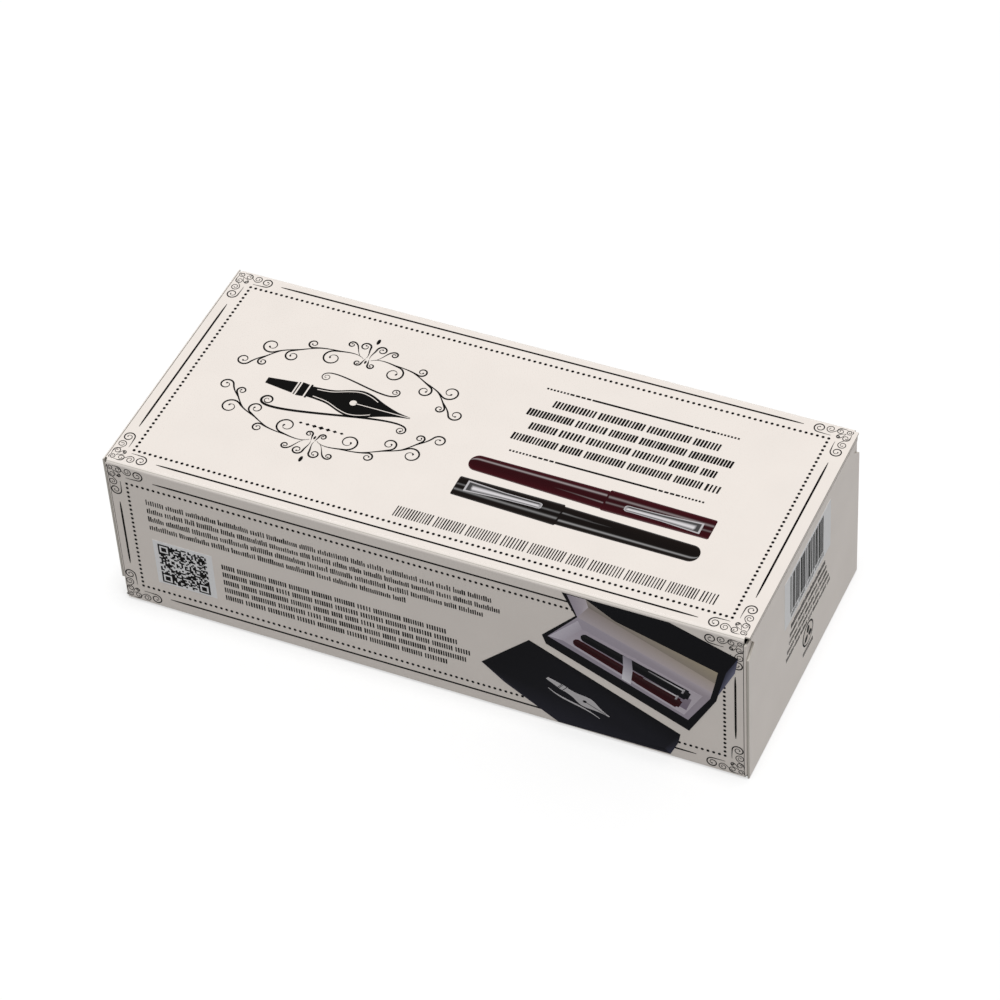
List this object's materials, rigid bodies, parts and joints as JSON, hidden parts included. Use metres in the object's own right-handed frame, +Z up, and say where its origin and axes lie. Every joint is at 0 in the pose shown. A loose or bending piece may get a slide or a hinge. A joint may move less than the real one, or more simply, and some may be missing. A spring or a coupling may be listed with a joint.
{
  "type": "calligraphy set box",
  "caption": "Printed tuck-end carton holding a lined gift case with capped fountain pens; end panels, tuck flaps and dust flaps fold open.",
  "frame": {"origin": "centre of the carton's underside", "axes": "+X along the carton to its right end, +Y from the front panel to the back panel, +Z up"},
  "size_m": [0.2, 0.089, 0.0575],
  "materials": {
    "printed_board": "satin coated print side",
    "board_back": "uncoated",
    "case_cover": "matte leatherette over board",
    "lining": "pale satin",
    "band": "white ribbon",
    "black_lacquer": "gloss",
    "burgundy_lacquer": "gloss",
    "black_plastic": "satin",
    "steel": "polished"
  },
  "bodies": {
    "carton": {"carton_sleeve": "printed_board", "carton_glue_flap": "board_back", "case_base": "case_cover", "case_lid": "case_cover", "case_hinge_strip": "case_cover", "base_lining": "lining", "lid_lining": "lining", "pen_bed": "lining", "pen_band": "band", "black_pen_barrel": "black_lacquer", "black_pen_grip": "black_lacquer", "black_pen_feed": "black_plastic", "black_pen_nib": "steel", "black_pen_cartridge": "black_plastic", "black_pen_cap": "black_lacquer", "black_pen_cap_liner": "black_plastic", "black_pen_clip": "steel", "burgundy_pen_barrel": "burgundy_lacquer", "burgundy_pen_grip": "burgundy_lacquer", "burgundy_pen_feed": "black_plastic", "burgundy_pen_nib": "steel", "burgundy_pen_cartridge": "black_plastic", "burgundy_pen_cap": "burgundy_lacquer", "burgundy_pen_cap_liner": "black_plastic", "burgundy_pen_clip": "steel"},
    "right_end_panel": {"right_closure": "printed_board"},
    "right_tuck": {"right_tuck_flap": "printed_board"},
    "right_front_dust": {"right_front_dust_flap": "printed_board"},
    "right_back_dust": {"right_back_dust_flap": "printed_board"},
    "left_end_panel": {"left_closure": "printed_board"},
    "left_tuck": {"left_tuck_flap": "printed_board"},
    "left_front_dust": {"left_front_dust_flap": "printed_board"},
    "left_back_dust": {"left_back_dust_flap": "printed_board"}
  },
  "joints": [
    {"name": "right_end_panel_fold", "type": "hinge", "parent": "carton", "child": "right_end_panel", "pos_m": [0.0994, 0, 0.0006], "axis": [0, 1, 0], "range_deg": [0, 90]},
    {"name": "right_tuck_fold", "type": "hinge", "parent": "right_end_panel", "child": "right_tuck", "pos_m": [0.0994, 0, 0.05615], "axis": [0, 1, 0], "range_deg": [0, 30]},
    {"name": "right_front_dust_fold", "type": "hinge", "parent": "carton", "child": "right_front_dust", "pos_m": [0.09865, -0.0439, 0.02875], "axis": [0, 0, -1], "range_deg": [0, 45]},
    {"name": "right_back_dust_fold", "type": "hinge", "parent": "carton", "child": "right_back_dust", "pos_m": [0.09865, 0.0439, 0.02875], "axis": [0, 0, 1], "range_deg": [0, 45]},
    {"name": "left_end_panel_fold", "type": "hinge", "parent": "carton", "child": "left_end_panel", "pos_m": [-0.0994, 0, 0.0569], "axis": [0, 1, 0], "range_deg": [0, 120]},
    {"name": "left_tuck_fold", "type": "hinge", "parent": "left_end_panel", "child": "left_tuck", "pos_m": [-0.0994, 0, 0.00135], "axis": [0, 1, 0], "range_deg": [0, 40]},
    {"name": "left_front_dust_fold", "type": "hinge", "parent": "carton", "child": "left_front_dust", "pos_m": [-0.09865, -0.0439, 0.02875], "axis": [0, 0, 1], "range_deg": [0, 60]},
    {"name": "left_back_dust_fold", "type": "hinge", "parent": "carton", "child": "left_back_dust", "pos_m": [-0.09865, 0.0439, 0.02875], "axis": [0, 0, -1], "range_deg": [0, 60]}
  ],
  "couplings": [
    {"joint": "right_front_dust_fold", "follows": "right_end_panel_fold", "ratio": 0.5},
    {"joint": "right_back_dust_fold", "follows": "right_end_panel_fold", "ratio": 0.5},
    {"joint": "right_tuck_fold", "follows": "right_end_panel_fold", "ratio": 0.33333},
    {"joint": "left_front_dust_fold", "follows": "left_end_panel_fold", "ratio": 0.5},
    {"joint": "left_back_dust_fold", "follows": "left_end_panel_fold", "ratio": 0.5},
    {"joint": "left_tuck_fold", "follows": "left_end_panel_fold", "ratio": 0.33333}
  ]
}
